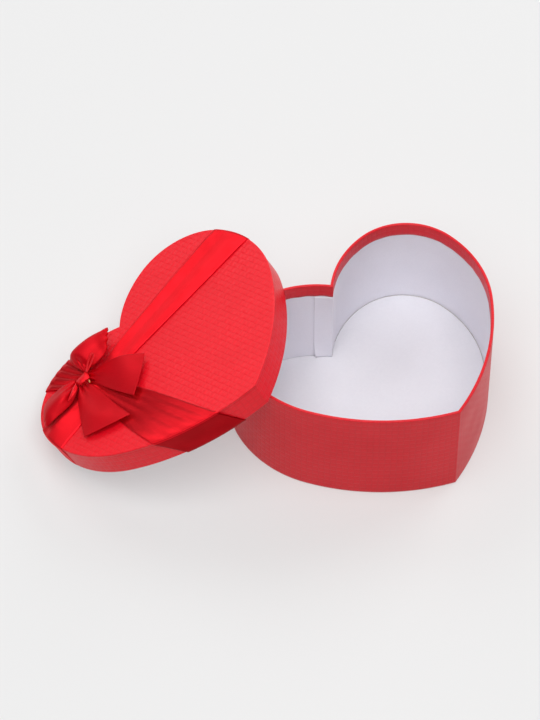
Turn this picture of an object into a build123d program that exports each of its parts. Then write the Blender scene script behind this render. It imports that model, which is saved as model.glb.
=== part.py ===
import os
from math import acos, atan2, cos, degrees, pi, radians, sin

from build123d import *

os.makedirs("parts", exist_ok=True)

# Heart outline of the base: four tangent arcs on each side of the axis
lobe_spacing = 111.8
lobe_radius = 53.2
flank_radius = 81.6
side_radius = 92.9
point_radius = 187.6
flank_angle = 94.7
side_angle = 12.0
point_angle = -33.7

# Sheets that the box is made from
base_board = 1.6
lid_board = 1.6
paper = 0.25
liner = 0.2
glue = 0.05

# Base
base_height = 93.0
base_turn_in = 12.5
base_turn_under = 9.0
underside_inset = 3.0
floor_card = 0.8
floor_card_gap = 1.3
rim_round = 0.9
tape_left_length = 22.0
tape_right_length = 7.0
tape_end_gap = 1.5

# Slits that let the turned-in paper lie flat round the lobes
slit_width = 0.9
slit_top_gap = 2.5
lobe_slit_angle = 24.5
lobe_slit_step_angle = 22.0
lobe_slit_count = 4
side_slit_angle = 8.0
side_slit_step_angle = -20.0
side_slit_count = 3

# Lid
lid_clearance = 0.8
lid_height = 22.6
lid_lip = 0.8
lid_turn_in = 9.0
foot_round = 0.7

# Lid leaning on the base: where it stands and which way it slopes down
lid_shift_x = -127.7
lid_shift_y = 87.7
lid_heading_angle = 10.0
lean_bearing_angle = 133.4
rest_gap = 0.25
lean_steps = 24
outline_steps = 30

# Ribbon glued round the lid
ribbon = 0.35
long_band_width = 38.0
long_band_angle = -3.0
long_band_y = 5.0
cross_band_x = -54.0
cross_band_pinch = 15.0
cross_band_top_width = 42.0
cross_band_foot_width = 52.0
cross_band_top_shift = -9.0
cross_band_foot_shift = -3.0
band_tuck = 8.0

# Bow: a looped length, a length with two tails, and the wrap that pinches both
knot_x = -52.7
knot_y = 22.8
bow_angle = 5.0
bow_ribbon = 0.4
bow_seat = 0.3
knot_length = 10.0
knot_width = 11.0
knot_height = 5.8
knot_round = 1.8
right_loop_length = 43.0
left_loop_length = 52.0
loop_pinch = 9.0
loop_front = 6.0
loop_back = 14.0
loop_rise = 17.0
loop_end_lift = 5.0
loop_end_fold = 4.0
loop_low = 2.2
loop_high = 4.8
loop_crest_share = 0.55
loop_fold_share = 0.3
loop_end_share = 0.55
tail_pinch = 6.0
tail_low = 0.7
tail_offset = 3.5
tail_flat = 12.0
tail_bend = 26.0
tail_rise = 5.5
tail_end_lift = 2.5
tail_end_width = 42.0
right_tail_length = 52.7
right_tail_angle = -78.0
right_tail_skew = -5.8
left_tail_length = 61.5
left_tail_angle = -115.0
left_tail_skew = 4.2
wrap_loop_width = 4.0
wrap_loop_reach = 14.0
wrap_loop_rise = 13.0
wrap_loop_fold = 2.0
wrap_loop_root = 1.0
wrap_end_length = 19.0
wrap_end_drop = 4.8
wrap_end_lift = 2.7
tie_wire = 0.9
tie_length = 4.5
tie_x = 2.0
tie_lift = 2.0

# Sweep of the wall sections past the heart's axis before they are mitred
mitre_angle = 20.0

# Reach of the cutting shapes past what they cut
overrun = 5.0


def unit(turn):
    return Vector(cos(radians(turn)), sin(radians(turn)))


lobe_centre = Vector(lobe_spacing / 2, 0)
flank_centre = lobe_centre - unit(flank_angle) * (flank_radius - lobe_radius)
side_centre = lobe_centre - unit(side_angle) * (side_radius - lobe_radius)
point_centre = side_centre - unit(point_angle) * (point_radius - side_radius)
lobe_slit_turns = [lobe_slit_angle + lobe_slit_step_angle * place for place in range(lobe_slit_count)]
side_slit_turns = [side_slit_angle + side_slit_step_angle * place for place in range(side_slit_count)]


def half_arcs(grow):
    """Centre, radius, start and end angle of the arcs from cleft to point."""
    cleft_turn = degrees(acos(-flank_centre.X / (flank_radius + grow)))
    tip_turn = -degrees(acos(-point_centre.X / (point_radius + grow)))
    return [
        (flank_centre, flank_radius + grow, cleft_turn, flank_angle),
        (lobe_centre, lobe_radius + grow, flank_angle, side_angle),
        (side_centre, side_radius + grow, side_angle, point_angle),
        (point_centre, point_radius + grow, point_angle, tip_turn),
    ]


def heart(grow, mode=Mode.ADD):
    """Heart face parallel to the outside of the base, larger by grow."""
    with BuildLine() as edge:
        for centre, radius, start, end in half_arcs(grow):
            CenterArc(centre, radius, start, end - start)
        mirror(about=Plane.YZ)
    make_face(edge.edges(), mode=mode)


def outline(grow):
    """Points in order round the heart outline, from cleft to point and back."""
    right = []
    for centre, radius, start, end in half_arcs(grow):
        for step in range(outline_steps):
            right.append(centre + unit(start + (end - start) * step / outline_steps) * radius)
    return right + [Vector(-spot.X, spot.Y) for spot in reversed(right)]


def grow_at(spot):
    """Which parallel heart passes through a spot close to the outline."""
    grows = []
    for centre, radius, start, end in half_arcs(0):
        arm = Vector(abs(spot.X), spot.Y) - centre
        if end <= degrees(atan2(arm.Y, arm.X)) <= start:
            grows.append(arm.length - radius)
    return min(grows, key=abs) if grows else lobe_spacing


def slab(plane, low, high, outer, inner=None, mode=Mode.ADD):
    """Heart plate, or heart wall where inner is given, between two heights."""
    with BuildSketch(plane.offset(low)) as face:
        heart(outer)
        if inner is not None:
            heart(inner, mode=Mode.SUBTRACT)
    extrude(face.sketch, amount=high - low, mode=mode)


def wall(plane, section):
    """Heart wall: its section turned about the centre of each arc, then mirrored."""
    with BuildPart() as half:
        for centre, radius, start, end in half_arcs(0):
            first = end - mitre_angle if centre is point_centre else end
            last = start + mitre_angle if centre is flank_centre else start
            arm = unit(first)
            radial = Plane(origin=centre, x_dir=arm, z_dir=(arm.Y, -arm.X, 0))
            with BuildSketch(radial) as face:
                with Locations((radius, 0)):
                    add(section)
            revolve(face.sketch, axis=Axis(centre, (0, 0, 1)), revolution_arc=last - first)
        split(bisect_by=Plane.YZ, keep=Keep.TOP)
        mirror(about=Plane.YZ)
    with Locations(plane.location):
        add(half.part)


def strip(outer, inner, low, high):
    """Plain upright section of a wall."""
    with BuildSketch() as section:
        with Locations((inner, low)):
            Rectangle(outer - inner, high - low, align=Align.MIN)
    return section


def slits(plane, low, high, grow):
    """Narrow wedges across the turned-in paper round both lobes."""
    with BuildSketch(plane.offset(low)) as face:
        for centre, radius, turns in (
            (lobe_centre, lobe_radius, lobe_slit_turns),
            (side_centre, side_radius, side_slit_turns),
        ):
            for turn in turns:
                spot = centre + unit(turn) * (radius + grow)
                for place, heading in (((spot.X, spot.Y), turn), ((-spot.X, spot.Y), -turn)):
                    with Locations(Location(place, heading)):
                        Rectangle(2 * (paper + glue), slit_width)
    extrude(face.sketch, amount=high - low, mode=Mode.SUBTRACT)


# Layers of the base wall, from the outside in
base_board_out = -paper - glue
base_board_in = base_board_out - base_board
base_liner_out = base_board_in - glue
base_liner_in = base_liner_out - liner
base_turn_out = base_liner_in - glue
base_inside = base_turn_out - paper
wrap_low = paper + glue
board_low = wrap_low + paper + glue
board_high = base_height - paper - glue
bottom_top = board_low + base_board
card_low = bottom_top + glue
card_top = card_low + floor_card
turn_in_low = base_height - base_turn_in

# Layers of the lid, from the inside out
lid_inside = lid_clearance
lid_liner_in = lid_inside + paper + glue
lid_liner_out = lid_liner_in + liner
lid_board_in = lid_liner_out + glue
lid_board_out = lid_board_in + lid_board
lid_paper_in = lid_board_out + glue
lid_outside = lid_paper_in + paper
lid_edge = lid_outside + lid_lip
top_board_high = lid_height - paper - glue
top_board_low = top_board_high - lid_board
lid_wall_low = paper + glue
lid_wall_high = top_board_low - glue - paper - glue
ceiling_high = top_board_low - glue
ceiling_low = ceiling_high - liner
long_stack = glue
cross_stack = long_stack + ribbon + glue
floor_rest = rest_gap + cross_stack + ribbon


def lid_frame(tilt, height):
    """Plane of the lid's lower edge for a tilt down towards the lean bearing."""
    down = unit(lean_bearing_angle)
    up = Vector(down.X * sin(tilt), down.Y * sin(tilt), cos(tilt))
    along = Vector(down.X * cos(tilt), down.Y * cos(tilt), -sin(tilt))
    across = up.cross(along)
    swing = radians(lid_heading_angle - lean_bearing_angle)
    return Plane(
        origin=(lid_shift_x, lid_shift_y, height),
        x_dir=along * cos(swing) + across * sin(swing),
        z_dir=up,
    )


def standing_frame(tilt):
    """The tilted lid set down so that its lowest edge stands on the floor."""
    loose = lid_frame(tilt, 0)
    feet = outline(lid_outside - foot_round)
    heights = [loose.from_local_coords(Vector(p.X, p.Y, foot_round)).Z for p in feet]
    return lid_frame(tilt, floor_rest + foot_round - min(heights))


rims = [outline(-rim_round), outline(base_inside + rim_round)]


def rim_reach(frame):
    """How far the base rim reaches past the lid's lower edge where they cross."""
    reach = [-base_height]
    for rim in rims:
        spots = [frame.to_local_coords(Vector(p.X, p.Y, base_height - rim_round)) for p in rim]
        grows = [grow_at(spot) for spot in spots]
        for edge in (lid_inside, lid_outside):
            for one, two, before, after in zip(spots, spots[1:], grows, grows[1:]):
                if (before - edge) * (after - edge) < 0:
                    share = (before - edge) / (before - after)
                    reach.append(one.Z + (two.Z - one.Z) * share)
    return max(reach) + rim_round


low_tilt, high_tilt = 0, pi / 3
for step in range(lean_steps):
    tilt = (low_tilt + high_tilt) / 2
    if rim_reach(standing_frame(tilt)) > -rest_gap:
        low_tilt = tilt
    else:
        high_tilt = tilt
lid_plane = standing_frame(high_tilt)

with BuildPart() as base_wall_board:
    board_section = strip(base_board_out, base_board_in, board_low, board_high)
    with board_section:
        fillet(board_section.vertices().group_by(Axis.Y)[-1], rim_round - paper - glue)
    wall(Plane.XY, board_section.sketch)

with BuildPart() as base_bottom_board:
    slab(Plane.XY, board_low, bottom_top, base_board_in - glue)

with BuildPart() as base_wall_liner:
    slab(Plane.XY, card_low, board_high - rim_round, base_liner_out, base_liner_in)

with BuildPart() as base_floor_card:
    slab(Plane.XY, card_low, card_top, base_liner_in - floor_card_gap)

with BuildPart() as base_underside_sheet:
    slab(Plane.XY, 0, paper, -underside_inset)

with BuildPart() as base_wrap_paper:
    with BuildSketch() as wrap_section:
        with BuildLine():
            Polyline(
                (-base_turn_under, wrap_low),
                (0, wrap_low),
                (0, base_height),
                (base_inside, base_height),
                (base_inside, turn_in_low),
                (base_turn_out, turn_in_low),
                (base_turn_out, board_high + glue),
                (-paper, board_high + glue),
                (-paper, wrap_low + paper),
                (-base_turn_under, wrap_low + paper),
                close=True,
            )
        make_face()
        fillet(wrap_section.vertices().group_by(Axis.Y)[-2], rim_round - paper)
        fillet(wrap_section.vertices().group_by(Axis.Y)[-1], rim_round)
    wall(Plane.XY, wrap_section.sketch)
    slits(Plane.XY, turn_in_low, base_height - slit_top_gap, base_inside)

with BuildPart() as base_cleft_tape:
    slab(Plane.XY, card_top + tape_end_gap, turn_in_low - tape_end_gap, base_liner_in - glue, base_inside)
    with BuildSketch(Plane.XY):
        with Locations(((tape_right_length - tape_left_length) / 2, 0)):
            Rectangle(tape_left_length + tape_right_length, flank_radius, align=(Align.CENTER, Align.MIN))
    extrude(amount=base_height, mode=Mode.INTERSECT)

with BuildPart() as lid_wall_board:
    lid_section = strip(lid_board_out, lid_board_in, lid_wall_low, lid_wall_high)
    with lid_section:
        fillet(lid_section.vertices().group_by(Axis.Y)[0], foot_round - paper - glue)
    wall(lid_plane, lid_section.sketch)

with BuildPart() as lid_top_board:
    slab(lid_plane, top_board_low, top_board_high, lid_edge - paper - glue)

with BuildPart() as lid_top_paper:
    slab(lid_plane, top_board_low, lid_height, lid_edge)
    slab(lid_plane, top_board_low, top_board_high + glue, lid_edge - paper, mode=Mode.SUBTRACT)

with BuildPart() as lid_side_paper:
    with BuildSketch() as side_section:
        with BuildLine():
            Polyline(
                (lid_board_in, top_board_low - glue),
                (lid_outside, top_board_low - glue),
                (lid_outside, 0),
                (lid_inside, 0),
                (lid_inside, lid_turn_in),
                (lid_inside + paper, lid_turn_in),
                (lid_inside + paper, paper),
                (lid_paper_in, paper),
                (lid_paper_in, lid_wall_high + glue),
                (lid_board_in, lid_wall_high + glue),
                close=True,
            )
        make_face()
        fillet(side_section.vertices().group_by(Axis.Y)[1], foot_round - paper)
        fillet(side_section.vertices().group_by(Axis.Y)[0], foot_round)
    wall(lid_plane, side_section.sketch)
    slits(lid_plane, slit_top_gap, lid_turn_in, lid_inside)

with BuildPart() as lid_wall_liner:
    slab(lid_plane, foot_round, ceiling_low - glue, lid_liner_out, lid_liner_in)

with BuildPart() as lid_ceiling_sheet:
    slab(lid_plane, ceiling_low, ceiling_high, lid_board_in - glue)

with BuildPart() as lid_cleft_tape:
    slab(lid_plane, lid_turn_in + tape_end_gap, ceiling_low - tape_end_gap, lid_liner_in - glue, lid_inside)
    with BuildSketch(lid_plane):
        with Locations(((tape_left_length - tape_right_length) / 2, 0)):
            Rectangle(tape_left_length + tape_right_length, flank_radius, align=(Align.CENTER, Align.MIN))
    extrude(amount=lid_height, mode=Mode.INTERSECT)


def band(plan, stack):
    """Ribbon laid over the lid's top and skirt, its ends tucked up inside."""
    low = -stack - ribbon
    slab(lid_plane, low, lid_height + stack + ribbon, lid_edge + stack + ribbon)
    slab(lid_plane, -stack, lid_height + stack, lid_edge + stack, lid_inside - stack, mode=Mode.SUBTRACT)
    slab(lid_plane, band_tuck, lid_height + stack, lid_edge + stack, mode=Mode.SUBTRACT)
    slab(lid_plane, low, lid_height, lid_inside - stack - ribbon, mode=Mode.SUBTRACT)
    extrude(plan, amount=lid_height + 2 * overrun, mode=Mode.INTERSECT)


band_plane = lid_plane.offset(-overrun)
band_reach = lobe_spacing + lobe_radius
band_back = lobe_radius + lid_edge + overrun
band_front = -point_radius

with BuildPart() as ribbon_band_long:
    with BuildSketch(band_plane) as long_plan:
        with Locations(Location((0, long_band_y), long_band_angle)):
            Rectangle(2 * band_reach, long_band_width)
    band(long_plan.sketch, long_stack)

with BuildPart() as ribbon_band_cross:
    back_x = cross_band_x + cross_band_top_shift
    front_x = cross_band_x + cross_band_foot_shift
    with BuildSketch(band_plane) as cross_plan:
        with BuildLine():
            Polyline(
                (back_x - cross_band_top_width / 2, band_back),
                (cross_band_x - cross_band_pinch / 2, knot_y),
                (front_x - cross_band_foot_width / 2, -lobe_spacing),
                (front_x - cross_band_foot_width / 2, band_front),
                (front_x + cross_band_foot_width / 2, band_front),
                (front_x + cross_band_foot_width / 2, -lobe_spacing),
                (cross_band_x + cross_band_pinch / 2, knot_y),
                (back_x + cross_band_top_width / 2, band_back),
                close=True,
            )
        make_face()
    band(cross_plan.sketch, cross_stack)

bow_height = lid_height + cross_stack + ribbon + bow_seat
bow_plane = Plane(
    origin=lid_plane.from_local_coords(Vector(knot_x, knot_y, bow_height)),
    x_dir=lid_plane.x_dir * cos(radians(bow_angle)) + lid_plane.y_dir * sin(radians(bow_angle)),
    z_dir=lid_plane.z_dir,
)


def upright(turn, x):
    """Plane standing on the bow's seat, facing along a turn from the loops' axis."""
    reach = bow_plane.x_dir * cos(radians(turn)) + bow_plane.y_dir * sin(radians(turn))
    start = bow_plane.from_local_coords(Vector(x, 0, 0))
    return Plane(origin=start, x_dir=reach, z_dir=reach.cross(bow_plane.z_dir))


def loop_line(side, length):
    """One loop: out over its crest, round its end and back beneath."""
    crest = side * length * loop_crest_share
    half_way = (side * knot_length / 2 + crest) / 2
    end_top = loop_end_lift + loop_end_fold
    rise = TangentArc(
        (side * knot_length / 2, loop_high), (half_way, (loop_high + loop_rise) / 2), tangent=(side, 0)
    )
    over = TangentArc(rise @ 1, (crest, loop_rise), tangent=rise % 1)
    fall = TangentArc(over @ 1, (side * length, end_top), tangent=over % 1)
    fold_back = side * (length - loop_end_fold * loop_fold_share)
    fold = TangentArc(fall @ 1, (fold_back, loop_end_lift), tangent=fall % 1)
    TangentArc(fold @ 1, (side * knot_length / 2, loop_low), tangent=fold % 1)


def loop_plan(side, length):
    """Half of the looped length seen from above, flaring out of the knot."""
    crest = side * length * loop_crest_share
    end = side * (length + loop_end_fold)
    return [
        (side * knot_length / 2, loop_pinch / 2),
        (crest, loop_back),
        (end, loop_back * loop_end_share),
        (end, -loop_front * loop_end_share),
        (crest, -loop_front),
        (side * knot_length / 2, -loop_pinch / 2),
    ]


with BuildPart() as bow_loops:
    with BuildSketch(upright(0, 0)):
        with BuildLine():
            loop_line(1, right_loop_length)
            loop_line(-1, left_loop_length)
            Line((-knot_length / 2, loop_high), (knot_length / 2, loop_high))
            Line((-knot_length / 2, loop_low), (knot_length / 2, loop_low))
        trace(line_width=bow_ribbon)
    extrude(amount=loop_front + loop_back, both=True)
    with BuildSketch(bow_plane):
        with BuildLine():
            corners = loop_plan(1, right_loop_length) + loop_plan(-1, left_loop_length)[::-1]
            Polyline(*corners, close=True)
        make_face()
    extrude(amount=loop_rise + overrun, mode=Mode.INTERSECT)


def tail(turn, x, length, skew):
    """One tail: flat out of the knot, up over a soft crest and down to its cut end."""
    side_view = upright(turn, x)
    with BuildPart() as shape:
        with BuildSketch(side_view):
            with BuildLine():
                flat = Line((-tail_pinch / 2, tail_low), (tail_flat, tail_low))
                rise = TangentArc(flat @ 1, (tail_bend, tail_rise), tangent=flat % 1)
                TangentArc(rise @ 1, (length + abs(skew), tail_end_lift), tangent=rise % 1)
            trace(line_width=bow_ribbon)
        extrude(amount=tail_end_width, both=True)
        with BuildSketch(Plane(origin=side_view.origin, x_dir=side_view.x_dir, z_dir=bow_plane.z_dir)):
            with BuildLine():
                Polyline(
                    (0, tail_pinch / 2),
                    (length + skew, tail_end_width / 2),
                    (length - skew, -tail_end_width / 2),
                    (0, -tail_pinch / 2),
                    close=True,
                )
            make_face()
        extrude(amount=loop_rise + overrun, mode=Mode.INTERSECT)
    return shape.part


tail_start = knot_length / 2 + tail_offset

with BuildPart() as bow_tails:
    with BuildSketch(bow_plane.offset(tail_low - bow_ribbon / 2)):
        Rectangle(2 * tail_start + tail_pinch, tail_pinch)
    extrude(amount=bow_ribbon)
    add(tail(right_tail_angle, tail_start, right_tail_length, right_tail_skew))
    add(tail(left_tail_angle, -tail_start, left_tail_length, left_tail_skew))

with BuildPart() as bow_knot_wrap:
    with BuildSketch(upright(90, 0)):
        with Locations((0, knot_height / 2)):
            RectangleRounded(knot_width, knot_height, knot_round)
            offset(amount=-bow_ribbon, mode=Mode.SUBTRACT)
    extrude(amount=knot_length / 2, both=True)
    wrap_top = knot_height - bow_ribbon / 2
    with BuildSketch(upright(0, 0)):
        with BuildLine():
            root = Line((wrap_loop_root, wrap_top), (knot_length / 2, wrap_top))
            climb = TangentArc(root @ 1, (wrap_loop_reach, wrap_loop_rise), tangent=root % 1)
            bend_end = (wrap_loop_reach - wrap_loop_fold, wrap_loop_rise + wrap_loop_fold / 2)
            bend = TangentArc(climb @ 1, bend_end, tangent=climb % 1)
            Line(bend @ 1, root @ 0)
        trace(line_width=bow_ribbon)
    extrude(amount=wrap_loop_width / 2, both=True)
    wrap_front = bow_ribbon - knot_width / 2
    with BuildSketch(bow_plane.offset(wrap_end_lift)):
        with BuildLine():
            Polyline(
                (0, wrap_front),
                (-knot_length / 2, wrap_front),
                (-knot_length / 2 - wrap_end_length, wrap_front - wrap_end_drop),
                close=True,
            )
        make_face()
    extrude(amount=bow_ribbon)

with BuildPart() as bow_twist_tie:
    tie_root = bow_plane.from_local_coords(Vector(tie_x, -knot_width / 2 - rest_gap, tie_lift))
    with BuildSketch(Plane(origin=tie_root, x_dir=bow_plane.x_dir, z_dir=-bow_plane.y_dir)):
        Circle(tie_wire / 2)
    extrude(amount=tie_length)

pieces = {
    "base_wall_board": base_wall_board,
    "base_bottom_board": base_bottom_board,
    "base_wall_liner": base_wall_liner,
    "base_floor_card": base_floor_card,
    "base_underside_sheet": base_underside_sheet,
    "base_wrap_paper": base_wrap_paper,
    "base_cleft_tape": base_cleft_tape,
    "lid_wall_board": lid_wall_board,
    "lid_top_board": lid_top_board,
    "lid_top_paper": lid_top_paper,
    "lid_side_paper": lid_side_paper,
    "lid_wall_liner": lid_wall_liner,
    "lid_ceiling_sheet": lid_ceiling_sheet,
    "lid_cleft_tape": lid_cleft_tape,
    "ribbon_band_long": ribbon_band_long,
    "ribbon_band_cross": ribbon_band_cross,
    "bow_loops": bow_loops,
    "bow_tails": bow_tails,
    "bow_knot_wrap": bow_knot_wrap,
    "bow_twist_tie": bow_twist_tie,
}
for name, piece in pieces.items():
    piece.part.label = name
    export_step(piece.part, f"parts/{name}.step")
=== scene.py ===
import math

import bpy
import bmesh
import numpy as np
from mathutils import Matrix, Vector


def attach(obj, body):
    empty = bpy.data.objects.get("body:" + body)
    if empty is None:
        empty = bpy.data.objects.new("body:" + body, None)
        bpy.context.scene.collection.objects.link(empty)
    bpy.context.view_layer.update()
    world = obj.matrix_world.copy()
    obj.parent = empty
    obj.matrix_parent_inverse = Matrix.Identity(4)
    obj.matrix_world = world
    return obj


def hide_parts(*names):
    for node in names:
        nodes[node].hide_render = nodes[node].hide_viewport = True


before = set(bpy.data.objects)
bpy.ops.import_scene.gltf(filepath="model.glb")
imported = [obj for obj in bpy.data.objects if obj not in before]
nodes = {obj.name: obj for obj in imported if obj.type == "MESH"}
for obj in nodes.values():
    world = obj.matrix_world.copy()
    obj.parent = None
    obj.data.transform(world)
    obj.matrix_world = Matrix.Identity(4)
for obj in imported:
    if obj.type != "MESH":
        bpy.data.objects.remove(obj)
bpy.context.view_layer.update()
MM = 0.001


def unit(turn):
    """Plan direction at a turn in degrees."""
    return np.array([math.cos(math.radians(turn)), math.sin(math.radians(turn))])


# Heart outline of the base in millimetres: four arcs per half, and the turns in degrees where they meet
FLANK_RADIUS = 81.6
LOBE_RADIUS = 53.2
SIDE_RADIUS = 92.9
POINT_RADIUS = 187.6
FLANK_TO_LOBE = 94.7
LOBE_TO_SIDE = 12.0
SIDE_TO_POINT = -33.7
TIP_ROUND = 1.0
LOBE = np.array([55.9, 0.0])
FLANK = LOBE - unit(FLANK_TO_LOBE) * (FLANK_RADIUS - LOBE_RADIUS)
SIDE = LOBE - unit(LOBE_TO_SIDE) * (SIDE_RADIUS - LOBE_RADIUS)
POINT = SIDE - unit(SIDE_TO_POINT) * (POINT_RADIUS - SIDE_RADIUS)


def half_arcs(grow):
    """Centre, radius, start and end turn of the arcs from cleft to point, then the rounded point."""
    cleft = math.degrees(math.acos(-FLANK[0] / (FLANK_RADIUS + grow)))
    drop = math.sqrt((POINT_RADIUS + grow - TIP_ROUND) ** 2 - POINT[0] ** 2)
    tip = np.array([0.0, POINT[1] - drop])
    tip_turn = math.degrees(math.atan2(tip[1] - POINT[1], tip[0] - POINT[0]))
    return [
        (FLANK, FLANK_RADIUS + grow, cleft, FLANK_TO_LOBE),
        (LOBE, LOBE_RADIUS + grow, FLANK_TO_LOBE, LOBE_TO_SIDE),
        (SIDE, SIDE_RADIUS + grow, LOBE_TO_SIDE, SIDE_TO_POINT),
        (POINT, POINT_RADIUS + grow, SIDE_TO_POINT, tip_turn),
        (tip, TIP_ROUND, tip_turn, -90.0),
    ]


ARC_LENGTHS = [abs(math.radians(e - s)) * r for _, r, s, e in half_arcs(0)]
HALF = sum(ARC_LENGTHS)
LAST_ARC = len(ARC_LENGTHS) - 1


def on_heart(s, grow):
    """Point of the parallel heart at arc length s from the cleft, right half first."""
    right = s <= HALF
    rest = min(max(s if right else 2 * HALF - s, 0.0), HALF)
    place = 0
    while rest > ARC_LENGTHS[place] and place < LAST_ARC:
        rest -= ARC_LENGTHS[place]
        place += 1
    centre, radius, start, end = half_arcs(grow)[place]
    turn = start + (end - start) * min(rest / ARC_LENGTHS[place], 1.0)
    p = centre + unit(turn) * radius
    return p if right else np.array([-p[0], p[1]])


STATION_STEP = 2.0
LEAST_STEPS = 6


def heart_stations():
    """Arc lengths round the heart, dense at the tip."""
    right, base = [], 0.0
    for length in ARC_LENGTHS:
        count = max(int(round(length / STATION_STEP)), LEAST_STEPS)
        right += [base + length * k / count for k in range(count)]
        base += length
    return right + [HALF] + [2 * HALF - s for s in reversed(right)]


# Lid frame: leaning on the base, its low edge on the floor. Turns are in degrees
LID_O = np.array([-127.7, 87.7, 42.75445])
LID_TILT = math.radians(28.75233)
LEAN_TURN = 133.4
LID_TURN = 10.0
lean = unit(LEAN_TURN)
slope = np.array([*(lean * math.cos(LID_TILT)), -math.sin(LID_TILT)])
LID_Z = np.array([*(lean * math.sin(LID_TILT)), math.cos(LID_TILT)])
swing_x, swing_y = unit(LID_TURN - LEAN_TURN)
LID_X = slope * swing_x + np.cross(LID_Z, slope) * swing_y
LID_Y = np.cross(LID_Z, LID_X)


def to_lid(points):
    """Points of the lid's own frame, in the frame of the part."""
    p = np.asarray(points, float)
    return LID_O + p[..., 0:1] * LID_X + p[..., 1:2] * LID_Y + p[..., 2:3] * LID_Z


RIPPLE_WAVES = 5
WAVES_PER_MM = (0.006, 0.03)


def ripple(a, b, seed):
    """Small repeatable unevenness between -1 and 1."""
    r = np.random.default_rng(seed)
    total = 0.0
    for _ in range(RIPPLE_WAVES):
        wave = r.uniform(*WAVES_PER_MM, 2)
        shift = r.uniform(0, 2 * math.pi)
        total = total + np.sin(2 * math.pi * (a * wave[0] + b * wave[1]) + shift)
    return total / RIPPLE_WAVES


# Meshes


def grid_object(name, points, uv, material, closed=False):
    """Quad grid in millimetres with a UV map in metres. points is (rows, columns, 3)."""
    rows, cols = points.shape[:2]
    used = cols - 1 if closed else cols
    verts = [tuple(points[i, j] * MM) for i in range(rows) for j in range(used)]
    faces, loops = [], []
    for i in range(rows - 1):
        for j in range(cols - 1):
            corner = [(i, j), (i, j + 1), (i + 1, j + 1), (i + 1, j)]
            faces.append([r * used + (c % used) for r, c in corner])
            loops.append([uv[r, c] for r, c in corner])
    mesh = bpy.data.meshes.new(name)
    mesh.from_pydata(verts, [], faces)
    layer = mesh.uv_layers.new(name="flat")
    flat = [tuple(w * MM for w in pair) for u in loops for pair in u]
    layer.data.foreach_set("uv", np.array(flat, dtype=np.float32).ravel())
    mesh.polygons.foreach_set("use_smooth", [True] * len(faces))
    mesh.validate()
    mesh.materials.append(material)
    obj = bpy.data.objects.new(name, mesh)
    bpy.context.scene.collection.objects.link(obj)
    return obj


def mark_sharp(obj, angle):
    """Marks edges sharper than an angle, so that creases stay crisp."""
    bm = bmesh.new()
    bm.from_mesh(obj.data)
    for edge in bm.edges:
        if len(edge.link_faces) == 2 and edge.calc_face_angle(0.0) > math.radians(angle):
            edge.smooth = False
    bm.to_mesh(obj.data)
    bm.free()


def thicken(obj, amount, offset=-1.0):
    """Gives a sheet its thickness: inwards from its face, or to both sides with offset 0."""
    mod = obj.modifiers.new("thickness", "SOLIDIFY")
    mod.thickness = amount * MM
    mod.offset = offset


def orient(obj, near, direction):
    """Flips all faces when the one nearest a place doesn't face in a direction."""
    mesh = obj.data
    centre = Vector([c * MM for c in near])
    face = min(mesh.polygons, key=lambda p: (p.center - centre).length)
    if face.normal.dot(Vector(direction)) < 0:
        mesh.flip_normals()


def belongs(obj, body, node_name):
    """Says which body a piece rides on, and hides the solid that it stands in for."""
    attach(obj, body)
    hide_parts(node_name)


# Materials
NOISE_LOW, NOISE_HIGH = 0.3, 0.7


def new_material(name):
    mat = bpy.data.materials.new(name)
    mat.use_nodes = True
    return mat, mat.node_tree, mat.node_tree.nodes["Principled BSDF"]


def node(tree, kind, **settings):
    n = tree.nodes.new(kind)
    for key, value in settings.items():
        setattr(n, key, value)
    return n


def math_node(tree, operation, a, b=None, c=None):
    n = node(tree, "ShaderNodeMath", operation=operation)
    for k, value in enumerate((a, b, c)):
        if value is None:
            continue
        if isinstance(value, (int, float)):
            n.inputs[k].default_value = value
        else:
            tree.links.new(value, n.inputs[k])
    return n.outputs[0]


def noise(tree, vector, scale, detail=3.0, rough=0.55):
    n = node(tree, "ShaderNodeTexNoise")
    n.inputs["Scale"].default_value = scale
    n.inputs["Detail"].default_value = detail
    n.inputs["Roughness"].default_value = rough
    tree.links.new(vector, n.inputs["Vector"])
    return n.outputs[0]


def stretched(tree, vector, scale):
    n = node(tree, "ShaderNodeMapping")
    n.inputs["Scale"].default_value = scale
    tree.links.new(vector, n.inputs["Vector"])
    return n.outputs[0]


def ramp(tree, value, stops):
    n = node(tree, "ShaderNodeValToRGB")
    for element, (place, colour) in zip(n.color_ramp.elements, stops):
        element.position = place
        element.color = (*colour, 1.0)
    tree.links.new(value, n.inputs[0])
    return n.outputs[0]


def mapped(tree, value, to_low, to_high, low=NOISE_LOW, high=NOISE_HIGH):
    """Brings a noise value from its usual range to a new one."""
    n = node(tree, "ShaderNodeMapRange")
    for k, v in zip(("From Min", "From Max", "To Min", "To Max"), (low, high, to_low, to_high)):
        n.inputs[k].default_value = v
    tree.links.new(value, n.inputs["Value"])
    return n.outputs[0]


def bump(tree, height, distance, strength, normal=None):
    n = node(tree, "ShaderNodeBump")
    n.inputs["Strength"].default_value = strength
    n.inputs["Distance"].default_value = distance
    tree.links.new(height, n.inputs["Height"])
    if normal is not None:
        tree.links.new(normal, n.inputs["Normal"])
    return n.outputs[0]


def shade(tree, shader, tone, light, dark):
    tree.links.new(ramp(tree, tone, [(0.0, light), (1.0, dark)]), shader.inputs["Base Color"])


WEAVE_CELL = 0.004745


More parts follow.
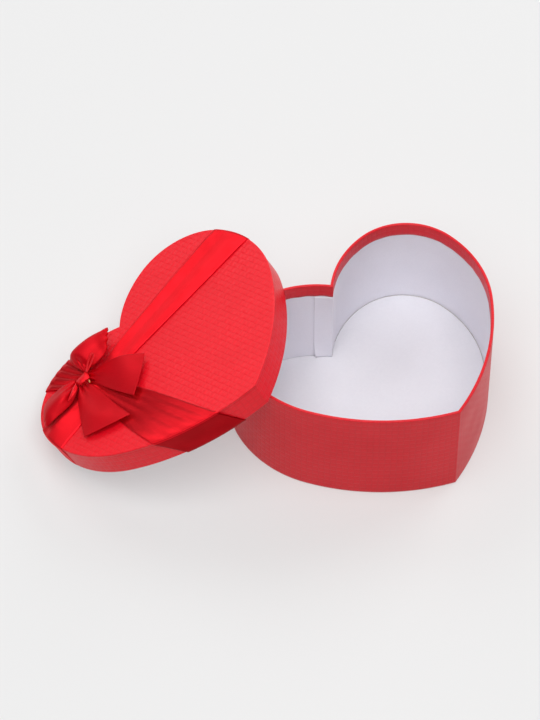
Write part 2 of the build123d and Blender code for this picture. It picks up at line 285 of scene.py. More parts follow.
def embossed_paper(name, light, dark, rough, depth):
    """Red paper pressed with a basket weave: square cells whose strands lie crosswise in turn."""
    mat, tree, shader = new_material(name)
    uv = node(tree, "ShaderNodeUVMap", uv_map="flat").outputs[0]
    split = node(tree, "ShaderNodeSeparateXYZ")
    tree.links.new(uv, split.inputs[0])
    cells, places = [], []
    for axis in range(2):
        along = math_node(tree, "DIVIDE", split.outputs[axis], WEAVE_CELL)
        cells.append(math_node(tree, "FLOOR", along))
        inside = math_node(tree, "MULTIPLY_ADD", math_node(tree, "FRACT", along), 2.0, -1.0)
        places.append(math_node(tree, "ABSOLUTE", inside))
    turned = math_node(tree, "FLOORED_MODULO", math_node(tree, "ADD", cells[0], cells[1]), 2.0)
    strands = []
    for across_strand, along_strand in (places[::-1], places):
        crown = math_node(tree, "POWER", across_strand, 4.0)
        tip = math_node(tree, "MULTIPLY", math_node(tree, "POWER", along_strand, 7.0), 0.6)
        strands.append(math_node(tree, "SUBTRACT", 1.0, math_node(tree, "MAXIMUM", crown, tip)))
    swap = math_node(tree, "SUBTRACT", strands[1], strands[0])
    weave = math_node(tree, "MULTIPLY_ADD", swap, turned, strands[0])
    fibre = noise(tree, uv, scale=900.0, detail=4.0)
    cloud = noise(tree, uv, scale=22.0)
    height = math_node(tree, "ADD", weave, math_node(tree, "MULTIPLY", fibre, 0.12))
    # Painted shade: the weave is darker where the strands dip, and the cells of one direction a little
    # darker, as light falls on them
    tone = math_node(tree, "MULTIPLY_ADD", weave, -0.22, 0.22)
    tone = math_node(tree, "MULTIPLY_ADD", turned, 0.04, tone)
    tone = math_node(tree, "ADD", tone, mapped(tree, cloud, 0.0, 0.22))
    tone = math_node(tree, "ADD", tone, mapped(tree, fibre, 0.0, 0.12))
    shade(tree, shader, tone, light, dark)
    tree.links.new(mapped(tree, cloud, rough - 0.04, rough + 0.06), shader.inputs["Roughness"])
    tree.links.new(bump(tree, height, depth, strength=0.8), shader.inputs["Normal"])
    shader.inputs["IOR"].default_value = 1.5
    shader.inputs["Specular IOR Level"].default_value = 0.36
    return mat


def satin(name, light, dark, rough, metal=0.88, turn=0.85):
    """Woven satin ribbon: long threads that shine across their length."""
    mat, tree, shader = new_material(name)
    uv = node(tree, "ShaderNodeUVMap", uv_map="flat").outputs[0]
    threads = noise(tree, stretched(tree, uv, (1.0, 0.035, 1.0)), scale=2600.0, detail=2.0)
    picks = noise(tree, stretched(tree, uv, (0.2, 1.0, 1.0)), scale=1500.0, detail=2.0)
    waves = noise(tree, uv, scale=55.0, detail=2.0)
    height = math_node(tree, "MULTIPLY", threads, 0.7)
    height = math_node(tree, "ADD", height, math_node(tree, "MULTIPLY", picks, 0.3))
    tone = mapped(tree, threads, 0.0, 0.4, low=0.25, high=0.75)
    tone = math_node(tree, "ADD", tone, mapped(tree, waves, 0.0, 0.3))
    shade(tree, shader, tone, light, dark)
    tree.links.new(mapped(tree, waves, rough - 0.04, rough + 0.05), shader.inputs["Roughness"])
    normal = bump(tree, waves, distance=0.0003, strength=0.4)
    normal = bump(tree, height, distance=0.00004, strength=0.7, normal=normal)
    tree.links.new(normal, shader.inputs["Normal"])
    tangent = node(tree, "ShaderNodeTangent", direction_type="UV_MAP", uv_map="flat")
    tree.links.new(tangent.outputs[0], shader.inputs["Tangent"])
    shader.inputs["Metallic"].default_value = metal
    shader.inputs["Anisotropic"].default_value = turn
    shader.inputs["Specular IOR Level"].default_value = 0.2
    return mat


def plain_paper(name, light, dark, rough, scale, depth):
    """Plain paper or board with fine fibres, taken from the solid's own coordinates."""
    mat, tree, shader = new_material(name)
    place = node(tree, "ShaderNodeTexCoord").outputs["Object"]
    fibre = noise(tree, place, scale, detail=5.0, rough=0.6)
    cloud = noise(tree, place, scale=30.0)
    tone = math_node(tree, "ADD", mapped(tree, fibre, 0.0, 0.6), mapped(tree, cloud, 0.0, 0.4))
    shade(tree, shader, tone, light, dark)
    tree.links.new(mapped(tree, cloud, rough - 0.05, rough + 0.08), shader.inputs["Roughness"])
    tree.links.new(bump(tree, fibre, depth, strength=0.6), shader.inputs["Normal"])
    shader.inputs["Specular IOR Level"].default_value = 0.35
    return mat


def gold(name):
    """Gold wire with a fine drawn grain."""
    mat, tree, shader = new_material(name)
    place = node(tree, "ShaderNodeTexCoord").outputs["Object"]
    grain = noise(tree, place, scale=1800.0)
    colour = ramp(tree, grain, [(0.2, (0.85, 0.58, 0.2)), (0.8, (0.98, 0.76, 0.36))])
    tree.links.new(colour, shader.inputs["Base Color"])
    tree.links.new(mapped(tree, grain, 0.2, 0.38), shader.inputs["Roughness"])
    shader.inputs["Metallic"].default_value = 1.0
    return mat


red_paper = embossed_paper(
    "embossed_red_paper", (0.77, 0.004, 0.016), (0.5, 0.002, 0.007), rough=0.42, depth=0.00018
)
# The lid's paper is the base's paper made lighter: painted light, as the lid's top faces the lamps
lid_paper_painted_light = embossed_paper(
    "lid_red_paper_painted_light", (0.87, 0.003, 0.016), (0.60, 0.002, 0.007), rough=0.4, depth=0.00022
)
satin_red = satin("red_satin", (0.92, 0.014, 0.026), (0.68, 0.006, 0.012), rough=0.44)
satin_bow = satin(
    "red_satin_bow", (0.66, 0.001, 0.010), (0.48, 0.001, 0.005), rough=0.52, metal=0.5, turn=0.5
)
satin_tie = satin(
    "red_satin_tie", (0.94, 0.012, 0.026), (0.74, 0.006, 0.012), rough=0.45, metal=0.5, turn=0.4
)
# Darker copy of the band satin for the cross band's ends down the skirt: painted shade, as the turned-down
# ribbon catches little light
satin_painted_shade = satin("red_satin_painted_shade", (0.50, 0.002, 0.008), (0.37, 0.001, 0.004), rough=0.5)
lining = plain_paper(
    "white_lining", (0.83, 0.825, 0.885), (0.78, 0.775, 0.84), rough=0.62, scale=700.0, depth=0.00003
)
card = plain_paper(
    "white_card", (0.74, 0.737, 0.775), (0.70, 0.697, 0.74), rough=0.5, scale=500.0, depth=0.00003
)
board = plain_paper(
    "greyboard", (0.55, 0.52, 0.46), (0.38, 0.35, 0.3), rough=0.8, scale=420.0, depth=0.0001
)
gold_wire = gold("gold_wire")

# The solids that show as they are, and the replaced ones that share their materials
for names, material in (
    (("base_wall_board", "base_bottom_board", "lid_wall_board", "lid_top_board"), board),
    (("base_wall_liner", "base_underside_sheet", "base_cleft_tape"), lining),
    (("lid_wall_liner", "lid_ceiling_sheet", "lid_cleft_tape"), lining),
    (("base_floor_card",), card),
    (("bow_twist_tie",), gold_wire),
):
    for name in names:
        mesh = nodes[name].data
        mesh.materials.clear()
        mesh.materials.append(material)


# Papers and card
PAPER = 0.25
CREASE_ANGLE = 35


def arc(centre, radius, start, end, count):
    """Points (grow, z) of a rounded corner of a section."""
    turns = [start + (end - start) * k / count for k in range(count + 1)]
    return [tuple(np.array(centre) + unit(t) * radius) for t in turns]


def path_lengths(section):
    """Length along a section up to each of its points."""
    path = [0.0]
    for one, two in zip(section, section[1:]):
        path.append(path[-1] + math.hypot(two[0] - one[0], two[1] - one[1]))
    return path


def wrapped(name, section, wobble, material, place=np.array):
    """Paper round the heart: a section swept along it. wobble(i, s) adds to grow and z."""
    stations = heart_stations()
    path = path_lengths(section)
    points = np.zeros((len(section), len(stations), 3))
    uv = np.zeros((len(section), len(stations), 2))
    for i, (grow, z) in enumerate(section):
        for j, s in enumerate(stations):
            uneven = wobble(i, s)
            p = on_heart(s, grow + uneven[0])
            points[i, j] = (p[0], p[1], z + uneven[1])
            uv[i, j] = (s, path[i])
    return grid_object(name, place(points), uv, material, closed=True)


POINT_FADE = 25.0


def point_fade(s):
    """0 at the heart's point, 1 away from it, so that the crease there stays straight."""
    return min(abs(s - HALF) / POINT_FADE, 1.0)


# Base paper: under the foot, up the wall, over the rim and turned in
WALL_HEIGHT = 93.0
FOOT_Z = 0.3
FOOT_ROUND = 0.8
RIM_ROUND = 0.9
RIM_CENTRE_Z = 92.1
BASE_INSIDE = -2.45
BASE_WAVE = 0.22
base_section = (
    [(-9.0, FOOT_Z), (-4.0, FOOT_Z)]
    + arc((-FOOT_ROUND, 1.1), FOOT_ROUND, -90, 0, 4)
    + [(0.0, z) for z in np.linspace(5.0, 90.0, 18)]
    + arc((-RIM_ROUND, RIM_CENTRE_Z), RIM_ROUND, 0, 90, 6)
    + [(-1.225, 92.78)]
    + arc((-1.55, RIM_CENTRE_Z), RIM_ROUND, 90, 180, 6)
    + [(BASE_INSIDE, 91.3), (BASE_INSIDE, 90.5)]
    + [(BASE_INSIDE, z) for z in np.linspace(88.5, 80.5, 5)]
)


def base_wobble(i, s):
    grow, z = base_section[i]
    if grow == 0.0:
        swell = math.sin(math.pi * z / WALL_HEIGHT)
        return BASE_WAVE * point_fade(s) * float(ripple(s, z, 5)) * swell, 0.0
    if i == len(base_section) - 1:
        return 0.0, 0.5 * float(ripple(s * 3, 0.0, 9))
    return 0.0, 0.0


wrap = wrapped("base_wrap_paper_visual", base_section, base_wobble, red_paper)
orient(wrap, (109.1, 0.0, 50.0), (1, 0, 0))
mark_sharp(wrap, CREASE_ANGLE)
thicken(wrap, PAPER)
belongs(wrap, "base", "base_wrap_paper")

# Paper tape over the board's joint in the cleft, its loose lower corner lifted off the wall
TAPE_LOW, TAPE_HIGH = 3.2, 79.5
TAPE_WING = 15.0
TAPE_GROW = -2.6
TAPE_CURL = 2.2
CURL_HEIGHT = 18.0
TAPE_ROWS, TAPE_COLS = 40, 41
tape_heights = np.linspace(TAPE_LOW, TAPE_HIGH, TAPE_ROWS)
tape_runs = np.linspace(-TAPE_WING, TAPE_WING, TAPE_COLS)
tape_grid = np.zeros((TAPE_ROWS, TAPE_COLS, 3))
tape_flat = np.zeros((TAPE_ROWS, TAPE_COLS, 2))
for i, z in enumerate(tape_heights):
    for j, along in enumerate(tape_runs):
        loose = max(1 - (z - TAPE_LOW) / CURL_HEIGHT, 0.0) * max(-along / TAPE_WING, 0.0)
        p = on_heart(along if along >= 0 else 2 * HALF + along, TAPE_GROW - TAPE_CURL * loose**1.5)
        tape_grid[i, j] = (p[0], p[1], z)
        tape_flat[i, j] = (along, z)
tape = grid_object("base_cleft_tape_visual", tape_grid, tape_flat, lining)
mark_sharp(tape, CREASE_ANGLE)
thicken(tape, PAPER)
belongs(tape, "base", "base_cleft_tape")

# Lid skirt paper: from under the top board down the skirt, round its foot and turned in
LID_OUTSIDE = 3.25
LID_INSIDE = 0.8
SKIRT_ROUND = 0.8
SKIRT_FOOT_ROUND = 0.7
LID_WAVE = 0.12
lid_section = [(1.2, 20.65), (2.2, 20.65)] + arc((2.45, 19.85), SKIRT_ROUND, 90, 0, 5)
lid_section += [(LID_OUTSIDE, z) for z in np.linspace(18.5, 2.2, 9)]
lid_section += arc((2.55, SKIRT_FOOT_ROUND), SKIRT_FOOT_ROUND, 0, -90, 5)
lid_section += arc((1.5, SKIRT_FOOT_ROUND), SKIRT_FOOT_ROUND, 270, 180, 5)
lid_section += [(LID_INSIDE, 1.6), (LID_INSIDE, 2.5)]
lid_section += [(LID_INSIDE, z) for z in np.linspace(4.0, 9.0, 4)]


def lid_wobble(i, s):
    grow, z = lid_section[i]
    if grow == LID_OUTSIDE:
        return LID_WAVE * point_fade(s) * float(ripple(s, z, 15)), 0.0
    if i == len(lid_section) - 1:
        return 0.0, 0.4 * float(ripple(s * 3, 0.0, 19))
    return 0.0, 0.0


skirt = wrapped("lid_side_paper_visual", lid_section, lid_wobble, lid_paper_painted_light, to_lid)
orient(skirt, to_lid([110.0, 0.0, 10.0]), LID_X)
mark_sharp(skirt, CREASE_ANGLE)
thicken(skirt, PAPER)
belongs(skirt, "lid", "lid_side_paper")


def plate(name, section, flat_part, edge, place, up, material):
    """Heart plate: a flat cap, then a section turned down round its edge.

    section holds (grow, z) pairs. The UV map unrolls what lies past flat_part.
    edge(s) adds to the grow at arc length s.
    """
    stations = heart_stations()[:-1]
    count = len(stations)
    path = path_lengths(section)
    bm = bmesh.new()
    layer = bm.loops.layers.uv.new("flat")
    rings = []
    flat_place = {}
    for (grow, z), run in zip(section, path):
        ring = []
        for s in stations:
            p = on_heart(s, grow + edge(s))
            bend = on_heart(s, flat_part)
            away = on_heart(s, flat_part + 1.0) - bend
            vert = bm.verts.new(place([p[0], p[1], z]) * MM)
            flat_place[vert] = p if run <= path[1] else bend + away * (run - path[1])
            ring.append(vert)
        rings.append(ring)
    for one, two in zip(rings, rings[1:]):
        for k in range(count):
            bm.faces.new((one[k], one[(k + 1) % count], two[(k + 1) % count], two[k]))
    cap = bm.faces.new(rings[0])
    for face in bm.faces:
        face.smooth = True
        for loop in face.loops:
            loop[layer].uv = Vector(flat_place[loop.vert]) * MM
    bmesh.ops.recalc_face_normals(bm, faces=bm.faces)
    cap.normal_update()
    if cap.normal.dot(Vector(up)) < 0:
        bmesh.ops.reverse_faces(bm, faces=bm.faces)
    bmesh.ops.triangulate(bm, faces=[cap])
    mesh = bpy.data.meshes.new(name)
    bm.to_mesh(mesh)
    bm.free()
    mesh.materials.append(material)
    obj = bpy.data.objects.new(name, mesh)
    bpy.context.scene.collection.objects.link(obj)
    return obj


# Lid top: one sheet over the top board, turned down round its edge
TOP = 22.6
LID_EDGE = 4.05
TOP_FLAT = 2.6
TOP_ROUND = 0.7
top_section = [(1.4, TOP), (TOP_FLAT, TOP)] + arc((3.35, 21.9), TOP_ROUND, 90, 0, 5)
top_section += [(LID_EDGE, 21.3), (LID_EDGE, 20.72)]
top = plate("lid_top_paper_visual", top_section, TOP_FLAT, lambda s: 0.0, to_lid, LID_Z, lid_paper_painted_light)
mark_sharp(top, 50)
thicken(top, PAPER)
belongs(top, "lid", "lid_top_paper")

# Floor card: close to the wall, with a gap that opens towards the right lobe
CARD_TOP = 3.05
CARD_EDGE = -2.45
CARD_THICK = 0.8
CARD_BEVEL = 0.15
CARD_FLAT = CARD_EDGE - CARD_BEVEL
CARD_GAP = 0.6
GAP_PLACE, GAP_SPREAD = 120.0, 75.0


def card_edge(s):
    return -CARD_GAP * math.exp(-(((s - GAP_PLACE) / GAP_SPREAD) ** 2))


card_section = [(CARD_EDGE - 1.0, CARD_TOP), (CARD_FLAT, CARD_TOP)]
card_section += [(CARD_EDGE, CARD_TOP - CARD_BEVEL), (CARD_EDGE, CARD_TOP - CARD_THICK)]
floor_card = plate(
    "base_floor_card_visual", card_section, CARD_FLAT, card_edge, np.array, (0, 0, 1), card
)
mark_sharp(floor_card, 40)
belongs(floor_card, "base", "base_floor_card")

# Ribbons and bow
RIBBON_WIDTH = 38.0
BAND_THICK = 0.3
BOW_THICK = 0.35


def spline(points, count):
    """Smooth curve through points, at evenly spaced parameters."""
    p = np.asarray(points, float)
    n = len(p)
    before = 2 * p[0] - p[1]
    after = 2 * p[-1] - p[-2]
    q = np.vstack([before[None], p, after[None]])
    out = []
    for t in np.linspace(0, n - 1, count):
        k = min(int(t), n - 2)
        x = t - k
        a, b, c, d = q[k], q[k + 1], q[k + 2], q[k + 3]
        square = (2 * a - 5 * b + 4 * c - d) * x**2
        cube = (3 * b - a - 3 * c + d) * x**3
        out.append(0.5 * (2 * b + (c - a) * x + square + cube))
    return np.array(out)


def net_surface(net, rows, cols):
    """Smooth grid from rows of three points: one edge, the crown, and the other edge."""
    edge, crown, far = (spline(net[:, k], rows)[:, None] for k in range(3))
    t = np.linspace(0, 1, cols)[None, :, None]
    return edge * (1 - t) * (1 - 2 * t) + crown * 4 * t * (1 - t) + far * t * (2 * t - 1)


def normals_of(points):
    du = np.gradient(points, axis=0)
    dv = np.gradient(points, axis=1)
    n = np.cross(dv, du)
    return n / np.maximum(np.linalg.norm(n, axis=2, keepdims=True), 1e-9)


def strip_uv(points, width):
    """Flat place of a ribbon's points: across its width, then along its middle."""
    rows, cols = points.shape[:2]
    middle = points[:, cols // 2]
    run = np.concatenate([[0], np.cumsum(np.linalg.norm(np.diff(middle, axis=0), axis=1))])
    uv = np.zeros((rows, cols, 2))
    uv[..., 0] = np.linspace(0, width, cols)[None, :]
    uv[..., 1] = run[:, None]
    return uv, float(run[-1])


def ribbon_object(name, points, width, thick, material):
    """Ribbon from a grid of points in the lid's frame, and its length, in millimetres."""
    uv, length = strip_uv(points, width)
    obj = grid_object(name, to_lid(points), uv, material)
    thicken(obj, thick, offset=0.0)
    return obj, length


RING_STEPS = 900
NEARLY_ZERO = 1e-12
ring_places = np.linspace(0, 2 * HALF, RING_STEPS)
edge_ring = np.array([on_heart(place, LID_EDGE) for place in ring_places])


def leave(inside, outside):
    """Arc length at which a line from inside the lid to outside it crosses the lid's edge."""
    line = outside - inside
    sides = np.diff(edge_ring, axis=0)
    cross = line[0] * sides[:, 1] - line[1] * sides[:, 0]
    cross[np.abs(cross) < NEARLY_ZERO] = NEARLY_ZERO
    gap = edge_ring[:-1] - inside
    ahead = (gap[:, 0] * sides[:, 1] - gap[:, 1] * sides[:, 0]) / cross
    along = (gap[:, 0] * line[1] - gap[:, 1] * line[0]) / cross
    ahead[(along < 0) | (along > 1) | (ahead <= 0)] = np.inf
    hit = int(np.argmin(ahead))
    return ring_places[hit] + along[hit] * (ring_places[1] - ring_places[0])


# A band's path past the lid's edge (grow from the edge, z): over the lip, down the skirt, up inside
EDGE_PATH = [
    (-3.0, TOP),
    (-1.2, TOP),
    (-0.4, TOP - 0.08),
    (0.15, TOP - 0.45),
    (0.32, TOP - 1.2),
    (0.25, TOP - 3.0),
    (-0.2, 15.5),
    (-0.42, 11.0),
    (-0.5, 6.5),
    (-0.52, 2.2),
    (-0.62, 0.5),
    (-1.05, -0.2),
    (-1.9, -0.42),
    (-2.7, -0.25),
    (-3.35, 0.5),
    (-3.5, 2.5),
    (-3.5, 5.0),
    (-3.5, 8.0),
]
# The first rows lie on the top, the next stand outside the skirt, the next go under its foot
TOP_ROWS = 4
OUTER_ROWS = 12
FOOT_ROWS = 14
FOOT_HEIGHT = 0.3
PAST_EDGE = 60.0
EDGE_RUN = EDGE_PATH[0][0] + np.array(path_lengths(EDGE_PATH))


def band_end(inner, outer, stack):
    """A ribbon line over the lid's edge: it keeps its own slant down the skirt and inside."""
    out = (outer - inner) / np.linalg.norm(outer - inner)
    place = leave(inner, outer + out * PAST_EDGE)
    edge = on_heart(place, LID_EDGE)
    normal = on_heart(place, LID_EDGE + 1.0) - edge
    ahead = on_heart(place + 0.5, LID_EDGE) - edge
    slant = (out @ ahead) / np.linalg.norm(ahead) / (out @ normal)
    end = []
    for k, (rel, z) in enumerate(EDGE_PATH):
        spread = stack if k < OUTER_ROWS else (-stack if k >= FOOT_ROWS else 0)
        p = on_heart(place + EDGE_RUN[k] * slant, LID_EDGE + rel + spread)
        if z < FOOT_HEIGHT and k < FOOT_ROWS:
            z = z - stack
        elif k < TOP_ROWS:
            z = z + stack
        end.append((p[0], p[1], z))
    return np.array(end)


BAND_STEPS = 70
RELIEF_FADE = 6.0
FADE_PAST_EDGE = 4


def band_points(lines, stack, relief):
    """Ribbon over the lid along plan lines: down the skirt and tucked in at both ends.

    Each line is a list of plan points whose first and last lie outside the lid.
    relief(x, y, t) lifts the ribbon above the lid's top and fades past the edge.
    """
    cols = []
    for _, line in lines:
        line = [np.array(p, float) for p in line]
        first = band_end(line[1], line[0], stack)
        last = band_end(line[-2], line[-1], stack)
        flat = spline([first[0][:2]] + line[1:-1] + [last[0][:2]], BAND_STEPS)
        top_part = [(p[0], p[1], TOP + stack) for p in flat[1:-1]]
        cols.append(np.vstack([first[::-1], top_part, last]))
    points = np.array(cols).transpose(1, 0, 2)
    count = len(EDGE_PATH)
    total = points.shape[0]
    for j, (t, _) in enumerate(lines):
        for i in range(total):
            x, y, _ = points[i, j]
            near = min(i - (count - 1), total - count - i)
            share = min(max((near + FADE_PAST_EDGE) / RELIEF_FADE, 0.0), 1.0)
            points[i, j, 2] += relief(x, y, t) * share
    return points


def across(profile, t):
    """Height of a ribbon's profile at t from -1 to 1."""
    xs, hs = zip(*profile)
    return float(np.interp(t, xs, hs))


# Long band: profiles across it above and below the bow, and where one passes into the other
UPPER_PROFILE = [(-1, 1.0), (-0.7, 1.3), (-0.3, 1.6), (0.0, 1.3)]
UPPER_PROFILE += [(0.36, 0.5), (0.42, 0.5), (0.7, 0.95), (1, 1.3)]
LOWER_PROFILE = [(-1, 0.4), (-0.6, 1.6), (-0.2, 3.0), (0.15, 4.0), (0.25, 3.6), (0.6, 1.2), (1, 0.1)]
LOWER_FROM, LOWER_BLEND = -20.0, 60.0
KNOT_X, KNOT_REACH = -52.7, 40.0


def long_relief(x, y, t):
    low = min(max((LOWER_FROM - x) / LOWER_BLEND, 0.0), 1.0)
    pressed = 0.35 + 0.65 * min(abs(x - KNOT_X) / KNOT_REACH, 1.0)
    shape = across(UPPER_PROFILE, t) * (1 - low) + across(LOWER_PROFILE, t) * low
    return shape * pressed + 0.05 * math.sin(0.11 * x + 3.0 * t)


LONG_TURN = math.radians(-3.0)
LONG_MIDDLE = 5.0
LONG_STACK = 0.05
LONG_COLS = 21
# Places along the lid with the ribbon's reach to its back and front edges, drawn in towards the bow
LONG_STATIONS = [(170, 19, 25.5), (60, 18.5, 15.5), (25, 17.5, 12), (-10, 16.5, 8.5)]
LONG_STATIONS += [(-30, 14.5, 7.5), (-53, 13, 10), (-78, 15.5, 15.5), (-170, 19, 19)]
long_lines = []
for t in np.linspace(-1, 1, LONG_COLS):
    line = []
    for x, back_reach, front_reach in LONG_STATIONS:
        reach = back_reach if t > 0 else front_reach
        line.append((x, LONG_MIDDLE + math.tan(LONG_TURN) * x + t * reach))
    long_lines.append((float(t), line))
long_points = band_points(long_lines, LONG_STACK, long_relief)
long_band, long_length = ribbon_object(
    "ribbon_band_long_visual", long_points, RIBBON_WIDTH, BAND_THICK, satin_red
)
belongs(long_band, "lid", "ribbon_band_long")

# Cross band: middle and half width of the ribbon at places from the back to the front, pinched at the knot
CROSS_STATIONS = [(-65.5, 22.5, 80.0), (-57.5, 13.0, 40.0), (-54.0, 7.0, 22.8)]
CROSS_STATIONS += [(-55.5, 13.5, -20.0), (-56.6, 18.5, -56.0), (-57.5, 27.0, -150.0)]
CROSS_STACK = 0.55
CROSS_COLS = 41
CROSS_WEAVE_WIDTH = 40.0
PINCH_Y, PLEAT_REACH = 22.8, 30.0
# Depth below the lid's top from which the cross band takes the darker satin: painted shade down the skirt
SHADE_BELOW = 0.8


def cross_relief(x, y, t):
    deep = 2.2 * math.exp(-abs(y - PINCH_Y) / PLEAT_REACH) + 0.4
    fold = abs(math.sin(math.pi * (2.2 * t + 0.35 * t * t + 0.1)))
    return deep * (fold**1.3) + 0.1


cross_lines = []
for t in np.linspace(-1, 1, CROSS_COLS):
    cross_lines.append((float(t), [(x + t * reach, y) for x, reach, y in CROSS_STATIONS]))
cross_points = band_points(cross_lines, CROSS_STACK, cross_relief)
cross_band, cross_length = ribbon_object(
    "ribbon_band_cross_visual", cross_points, CROSS_WEAVE_WIDTH, BAND_THICK, satin_red
)
# Faces below the lid's top, down the skirt, take the darker satin: painted shade
cross_band.data.materials.append(satin_painted_shade)
for face in cross_band.data.polygons:
    height = (np.array(face.center) / MM - LID_O) @ LID_Z
    face.material_index = 1 if height < TOP - SHADE_BELOW else 0
belongs(cross_band, "lid", "ribbon_band_cross")

# Bow: nets of points in the lid's plan, with heights above the bow's seat on the bands
SEAT = 23.7
LEAST_LIFT = 0.2
LIP_START, LIP_REACH = 0.9, 0.55


def bow_piece(
    name, net, rows, cols, pleats, width=RIBBON_WIDTH, thick=BOW_THICK, lip=0.0, material=satin_bow
):
    """A bow ribbon: a smooth net, pleats that fade away from the knot, and a lip on the far edge.

    Each pleat row holds its count, phase, height, start and reach.
    """
    net = np.array(net, float)
    net[..., 2] += SEAT
    points = net_surface(net, rows, cols)
    normal = normals_of(points)
    u = np.linspace(0, 1, rows)[:, None]
    v = np.linspace(0, 1, cols)[None, :]
    lift = np.zeros((rows, cols))
    for count, phase, height, start, reach in pleats:
        fade = np.exp(-((np.abs(u - start) / reach) ** 1.5))
        lift += height * fade * np.cos(2 * math.pi * count * v + phase)
    points = points + normal * lift[..., None]
    rim = np.maximum(v - LIP_START, 0.0) / 0.1
    points[..., 1] -= lip * rim * np.sin(math.pi * np.minimum(u / LIP_REACH, 1.0))
    points[..., 2] = np.maximum(points[..., 2], SEAT + LEAST_LIFT)
    return ribbon_object(name, points, width, thick, material)


right_loop_net = [
    [(-48, 29, 4), (-48, 25, 5), (-48, 23, 4)],
    [(-48, 41, 3), (-46, 34, 12), (-45, 23, 5)],
    [(-44, 50, 4), (-41, 35, 17), (-41, 21, 6)],
    [(-27, 42, 9), (-26, 30, 17), (-31, 19, 6)],
    [(-11, 32, 11), (-15, 27, 11), (-25, 20, 6)],
    [(-12, 33, 8), (-16, 29, 8), (-25, 23, 4)],
    [(-33, 45, 1), (-32, 34, 9), (-36, 26, 2)],
    [(-47, 32, 1), (-47, 28, 2), (-47, 26, 1)],
]
left_loop_net = [
    [(-60, 27, 3), (-62, 24, 5), (-64, 20, 4)],
    [(-69, 38, 2), (-77, 20, 12), (-78, 14, 4)],
    [(-86, 41, 2), (-92, 25, 10), (-95, 16, 5)],
    [(-98, 30, 3), (-100, 25, 6), (-104, 20, 3)],
    [(-97, 31, 1), (-99, 27, 3), (-102, 23, 1)],
    [(-79, 39, 1), (-84, 26, 6), (-86, 20, 1)],
    [(-60, 30, 1), (-62, 27, 2), (-63, 24, 1)],
]
right_tail_net = [
    [(-47, 24, 2), (-50, 20, 3), (-52, 16, 2)],
    [(-40, 16, 4), (-46, 8, 5), (-53, 3, 2)],
    [(-26, 1, 7), (-38, -13, 7), (-52, -20, 3)],
    [(-14, -17, 4), (-30, -29, 5), (-50, -39, 4)],
]
left_tail_net = [
    [(-62, 21, 2), (-60, 18, 3), (-56, 15, 2)],
    [(-70, 14, 3), (-67, 3, 5), (-57, 0, 2)],
    [(-83, -3, 4), (-78, -19, 7), (-62, -26, 3)],
    [(-98, -22, 2), (-84, -36, 4), (-65, -49, 3)],
]
LOOP_ROWS, TAIL_ROWS, BOW_COLS = 121, 81, 49
RIGHT_LIP = 1.6
loop_pleats = [(3.5, 0.6, 1.4, 0.02, 0.1), (2.0, 2.0, 0.5, 0.12, 0.15), (4.0, 1.0, 2.6, 0.93, 0.2)]
tail_pleats = [(2.5, 0.4, 1.1, 0.04, 0.17), (1.5, 2.2, 0.5, 0.2, 0.22)]
for name, net, rows, pleats, lip, node_name in (
    ("bow_loop_right", right_loop_net, LOOP_ROWS, loop_pleats, RIGHT_LIP, "bow_loops"),
    ("bow_loop_left", left_loop_net, LOOP_ROWS, loop_pleats, 0.0, "bow_loops"),
    ("bow_tail_right", right_tail_net, TAIL_ROWS, tail_pleats, 0.0, "bow_tails"),
    ("bow_tail_left", left_tail_net, TAIL_ROWS, tail_pleats, 0.0, "bow_tails"),
):
    piece, length = bow_piece(name, net, rows, BOW_COLS, pleats, lip=lip)
    belongs(piece, "lid", node_name)

# Narrow tie ribbon: over the knot, out in a small standing loop and a pointed end
wrap_net = [
    [(-62, 29, 1), (-63, 26, 1), (-64, 23, 1)],
    [(-59, 24, 6), (-60, 20, 7), (-61, 17, 6)],
    [(-55, 22, 7), (-56, 18, 8), (-57, 15, 7)],
    [(-50, 23, 6), (-51, 18, 7), (-53, 14, 6)],
    [(-49, 27, 1), (-50, 22, 1), (-52, 18, 1)],
]
tie_end_net = [
    [(-62, 22, 7), (-64, 18, 8), (-65, 16, 7)],
    [(-70, 15, 11), (-71, 12, 12), (-71, 10, 11)],
    [(-79, 12, 10), (-79, 11.5, 10), (-79, 11, 10)],
]
TIE_ROOT = np.array([-49.5, 21, 6.5])
TIE_REACH = np.array([13, -4, 10.5])
TIE_SPREAD = np.array([-0.5, 3, -1])
TIE_ACROSS = np.array([0.3, 2, -0.7])
TIE_THICK = 0.3
tie_loop_net = []
for t in np.linspace(0, 1, 17):
    middle = TIE_ROOT + TIE_REACH * math.sin(math.pi * t) + TIE_SPREAD * math.sin(2 * math.pi * t)
    tie_loop_net.append([middle - TIE_ACROSS, middle, middle + TIE_ACROSS])
tie, tie_length = bow_piece(
    "bow_knot_wrap_visual", wrap_net, 49, 13, [], width=8.0, thick=TIE_THICK, material=satin_tie
)
for name, net, rows, cols, width in (
    ("bow_tie_end", tie_end_net, 33, 9, 6.0),
    ("bow_tie_loop", tie_loop_net, 65, 7, 4.0),
):
    extra_piece, extra_length = bow_piece(name, net, rows, cols, [], width, TIE_THICK)
    both = bmesh.new()
    both.from_mesh(tie.data)
    both.from_mesh(extra_piece.data)
    both.to_mesh(tie.data)
    both.free()
    bpy.data.objects.remove(extra_piece)
    tie_length += extra_length
belongs(tie, "lid", "bow_knot_wrap")

# Twisted gold wire whose end shows between the tails
WIRE_START = np.array([-53.5, 16.0, 3.4])
WIRE_END = np.array([-55.5, 11.5, 4.8])
WIRE_SIDE = np.array([0.9, -0.4, 0.0])
WIRE_RISE = np.array([0.0, 0.3, 0.95])
WIRE_THICK = 0.32
WIRE_TURNS = 3.0
WIRE_ROWS, WIRE_COLS = 41, 11


def wire_ring(turn):
    """Direction across the wire at a turn in radians."""
    return WIRE_SIDE * math.cos(turn) + WIRE_RISE * math.sin(turn)


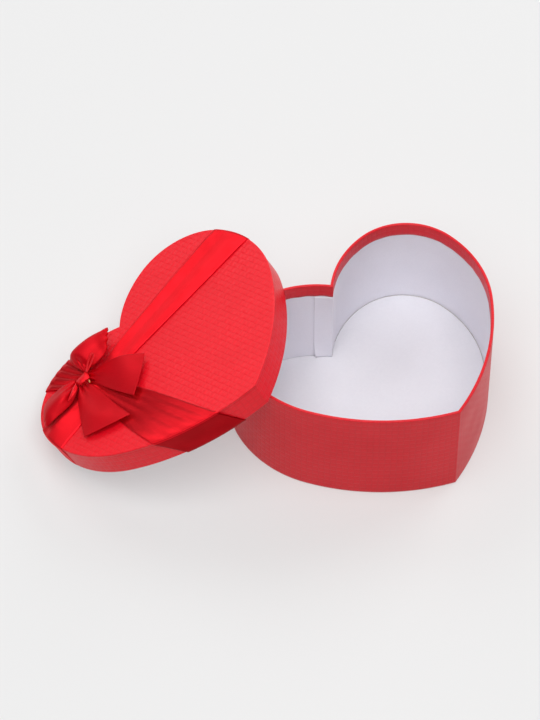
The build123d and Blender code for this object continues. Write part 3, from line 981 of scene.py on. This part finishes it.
for strand in range(2):
    rings = []
    for t in np.linspace(0, 1, WIRE_ROWS):
        swing = 2 * math.pi * WIRE_TURNS * t + math.pi * strand
        middle = WIRE_START + (WIRE_END - WIRE_START) * t + (0, 0, SEAT) + WIRE_THICK * wire_ring(swing)
        thick = WIRE_THICK * min(1.0, 0.1 + 12.0 * t, 0.1 + 12.0 * (1 - t))
        rings.append([middle + thick * wire_ring(r) for r in np.linspace(0, 2 * math.pi, WIRE_COLS)])
    rings = np.array(rings)
    wire_name = "bow_twist_tie_%d" % (strand + 1)
    wire = grid_object(wire_name, to_lid(rings), rings[..., :2], gold_wire, closed=True)
    belongs(wire, "lid", "bow_twist_tie")

# Stage, light and camera
FLOOR_REACH = 6.0
FLOOR_DROP = 0.0004
WHITE = (1.0, 1.0, 1.0, 1.0)
floor_mat, floor_tree, floor_shader = new_material("studio_floor")
floor_place = node(floor_tree, "ShaderNodeTexCoord").outputs["Object"]
floor_noise = noise(floor_tree, floor_place, scale=3.0, detail=2.0)
floor_tree.links.new(
    ramp(floor_tree, floor_noise, [(0.3, (0.41, 0.41, 0.41)), (0.7, (0.415, 0.415, 0.415))]),
    floor_shader.inputs["Base Color"],
)
floor_shader.inputs["Roughness"].default_value = 0.9
floor_shader.inputs["Specular IOR Level"].default_value = 0.1
floor_shader.inputs["Emission Color"].default_value = WHITE
floor_shader.inputs["Emission Strength"].default_value = 0.37
floor_corners = [(x * FLOOR_REACH, y * FLOOR_REACH, 0) for x, y in ((-1, -1), (1, -1), (1, 1), (-1, 1))]
floor_mesh = bpy.data.meshes.new("floor")
floor_mesh.from_pydata(floor_corners, [], [(0, 1, 2, 3)])
floor_mesh.materials.append(floor_mat)
floor = bpy.data.objects.new("floor", floor_mesh)
floor.location.z = -FLOOR_DROP
bpy.context.scene.collection.objects.link(floor)

world = bpy.data.worlds.new("studio")
bpy.context.scene.world = world
world.use_nodes = True
background = world.node_tree.nodes["Background"]
background.inputs["Color"].default_value = WHITE
background.inputs["Strength"].default_value = 0.09

LIGHT_AIM = Vector((-0.05, 0.0, 0.03))
for name, place, size, power in (
    ("key", (-0.5, -0.6, 2.1), 2.0, 46.0),
    ("back", (0.2, 1.9, 1.6), 1.5, 18.0),
    ("right", (1.9, 0.3, 1.3), 1.5, 23.0),
    ("left", (-1.6, 1.2, 1.3), 1.5, 6.6),
):
    light = bpy.data.lights.new(name, "AREA")
    light.energy = power
    light.size = size
    light_object = bpy.data.objects.new(name, light)
    light_object.location = place
    light_object.rotation_euler = (LIGHT_AIM - Vector(place)).to_track_quat("-Z", "Y").to_euler()
    bpy.context.scene.collection.objects.link(light_object)

# Camera fitted to the photo: focal length in pixels of a picture 720 pixels high
SENSOR = 36.0
FOCAL_PIXELS = 3401.38
PICTURE_PIXELS = 720.0
CAMERA_PLACE = Vector((-1.0898, -1.29392, 2.19433))
camera_data = bpy.data.cameras.new("camera")
camera_data.lens = SENSOR * FOCAL_PIXELS / PICTURE_PIXELS
camera_data.sensor_width = SENSOR
camera_data.sensor_fit = "AUTO"
camera_data.clip_end = 100.0
camera = bpy.data.objects.new("camera", camera_data)
right_axis = Vector((0.78936, -0.61393, 0.0))
up_axis = Vector((0.48433, 0.62273, 0.61452))
camera_turn = Matrix((right_axis, up_axis, right_axis.cross(up_axis))).transposed()
camera.matrix_world = Matrix.Translation(CAMERA_PLACE) @ camera_turn.to_4x4()
bpy.context.scene.collection.objects.link(camera)
bpy.context.scene.camera = camera
bpy.context.scene.view_settings.view_transform = "Standard"
